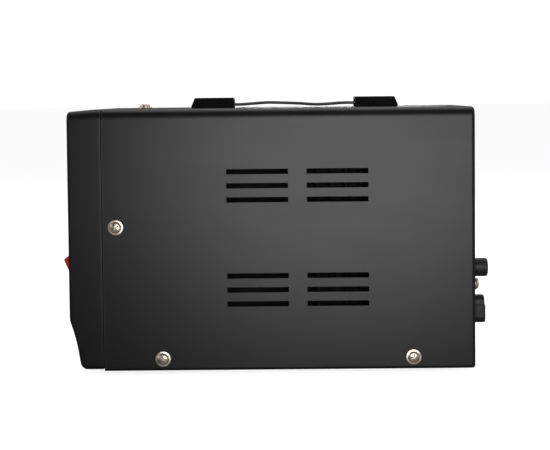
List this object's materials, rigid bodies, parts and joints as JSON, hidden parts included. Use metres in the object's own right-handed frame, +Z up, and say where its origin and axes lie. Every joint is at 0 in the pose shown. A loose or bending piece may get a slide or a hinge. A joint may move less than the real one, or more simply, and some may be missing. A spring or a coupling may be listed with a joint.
{
  "type": "bench power supply",
  "caption": "Compact black bench power supply with a folded sheet-metal cover, moulded front bezel, strap handle on top and side vents.",
  "frame": {"origin": "centre of the bounding box in plan, on the surface that the four feet stand on", "axes": "+X towards the right-hand side as seen by a person facing the front, +Y from the front to the rear, +Z up"},
  "size_m": [0.1358, 0.2764, 0.1773],
  "materials": {
    "cover_paint": "satin black powder coat",
    "rear_paint": "matt black paint",
    "chassis_zinc": "zinc plated",
    "bezel_plastic": "fine moulded grain",
    "panel_plastic": "matt",
    "window_smoke": "smoked, polished",
    "knob_plastic": "fine grain",
    "key_plastic": "matt",
    "red_plastic": "polished",
    "socket_red": "polished",
    "socket_green": "polished",
    "socket_black": "polished",
    "lamp_green": "clear tint",
    "lamp_red": "clear tint",
    "strap_rubber": "satin",
    "foot_rubber": "matt",
    "screw_nickel": "nickel plated",
    "fitting_plastic": "moulded",
    "fan_plastic": "moulded",
    "fuse_glass": "clear tube",
    "circuit_board": "solder resist",
    "core_steel": "varnished laminations",
    "winding_copper": "enamelled copper, wrapped",
    "sink_anodised": "black anodised",
    "sleeve_blue": "shrink sleeve"
  },
  "bodies": {
    "case": {"top_cover": "cover_paint", "rear_panel": "rear_paint", "chassis_tray": "chassis_zinc", "voltage_control": "chassis_zinc", "current_control": "chassis_zinc", "front_bezel": "bezel_plastic", "handle_cap_front": "bezel_plastic", "handle_cap_rear": "bezel_plastic", "power_switch_housing": "bezel_plastic", "front_panel": "panel_plastic", "display_window": "window_smoke", "voltage_display": "window_smoke", "current_display": "window_smoke", "output_socket_positive": "socket_red", "output_socket_ground": "socket_green", "output_socket_negative": "socket_black", "voltage_lamp": "lamp_green", "current_lamp": "lamp_red", "foot_front_left": "foot_rubber", "foot_front_right": "foot_rubber", "foot_rear_left": "foot_rubber", "foot_rear_right": "foot_rubber", "cover_screw_left_front": "screw_nickel", "cover_screw_left_lower_front": "screw_nickel", "cover_screw_left_lower_rear": "screw_nickel", "cover_screw_right_front": "screw_nickel", "cover_screw_right_lower_front": "screw_nickel", "cover_screw_right_lower_rear": "screw_nickel", "cover_screw_top": "screw_nickel", "earth_screw": "screw_nickel", "fan_guard": "screw_nickel", "fan_screw_1": "screw_nickel", "fan_screw_2": "screw_nickel", "fan_screw_3": "screw_nickel", "fan_screw_4": "screw_nickel", "fuse_holder": "fitting_plastic", "gland_body": "fitting_plastic", "gland_wedge": "fitting_plastic", "fan_frame": "fan_plastic", "main_board": "circuit_board", "display_board": "circuit_board", "transformer_core": "core_steel", "transformer_winding": "winding_copper", "heatsink": "sink_anodised", "filter_capacitor_1": "sleeve_blue", "filter_capacitor_2": "sleeve_blue"},
    "power_rocker": {"power_rocker": "red_plastic"},
    "voltage_knob": {"voltage_knob": "knob_plastic", "voltage_shaft": "chassis_zinc"},
    "current_knob": {"current_knob": "knob_plastic", "current_shaft": "chassis_zinc"},
    "output_button": {"output_button": "key_plastic"},
    "fan": {"fan_rotor": "fan_plastic"},
    "fuse_carrier": {"fuse": "fuse_glass"},
    "fuse_cap": {"fuse_cap": "fitting_plastic"},
    "strap_grip": {"strap_grip": "strap_rubber"},
    "strap_link_front": {"strap_link_front": "strap_rubber"},
    "strap_link_rear": {"strap_link_rear": "strap_rubber"},
    "strap_end_front": {"strap_end_front": "strap_rubber"},
    "strap_end_rear": {"strap_end_rear": "strap_rubber"}
  },
  "joints": [
    {"name": "power_rocker", "type": "hinge", "parent": "case", "child": "power_rocker", "pos_m": [0.0465, -0.1259, 0.064], "axis": [-1, 0, 0], "range_deg": [0, 23.6]},
    {"name": "voltage_knob", "type": "hinge", "parent": "case", "child": "voltage_knob", "pos_m": [-0.044, -0.12905, 0.075], "axis": [0, 1, 0], "range_deg": [-150, 150]},
    {"name": "current_knob", "type": "hinge", "parent": "case", "child": "current_knob", "pos_m": [-0.012, -0.12905, 0.075], "axis": [0, 1, 0], "range_deg": [-150, 150]},
    {"name": "output_button", "type": "slide", "parent": "case", "child": "output_button", "axis": [0, 1, 0], "range_m": [0, 0.001], "stiffness_N_per_m": 600},
    {"name": "fan_spin", "type": "hinge", "parent": "case", "child": "fan", "pos_m": [-0.02, 0.11495, 0.119], "axis": [0, 1, 0], "continuous": true},
    {"name": "fuse_pull", "type": "slide", "parent": "case", "child": "fuse_carrier", "axis": [0, 1, 0], "range_m": [0, 0.03]},
    {"name": "fuse_cap_turn", "type": "hinge", "parent": "fuse_carrier", "child": "fuse_cap", "pos_m": [0.051, 0.13095, 0.0665], "axis": [0, 1, 0], "range_deg": [0, 90]},
    {"name": "handle_lift", "type": "slide", "parent": "case", "child": "strap_grip", "axis": [0, 0, 1], "range_m": [0, 0.018]},
    {"name": "strap_fold_front", "type": "hinge", "parent": "strap_grip", "child": "strap_link_front", "pos_m": [0, 0.00895, 0.1729], "axis": [1, 0, 0], "range_deg": [0, 35]},
    {"name": "strap_fold_rear", "type": "hinge", "parent": "strap_grip", "child": "strap_link_rear", "pos_m": [0, 0.02095, 0.1729], "axis": [-1, 0, 0], "range_deg": [0, 35]},
    {"name": "strap_level_front", "type": "hinge", "parent": "strap_link_front", "child": "strap_end_front", "pos_m": [0, -0.02405, 0.1729], "axis": [-1, 0, 0], "range_deg": [0, 35]},
    {"name": "strap_level_rear", "type": "hinge", "parent": "strap_link_rear", "child": "strap_end_rear", "pos_m": [0, 0.05395, 0.1729], "axis": [1, 0, 0], "range_deg": [0, 35]}
  ],
  "couplings": [
    {"joint": "strap_fold_front", "follows": "handle_lift", "rad_per_m": 32.056},
    {"joint": "strap_fold_rear", "follows": "handle_lift", "rad_per_m": 32.056},
    {"joint": "strap_level_front", "follows": "handle_lift", "rad_per_m": 32.056},
    {"joint": "strap_level_rear", "follows": "handle_lift", "rad_per_m": 32.056}
  ]
}
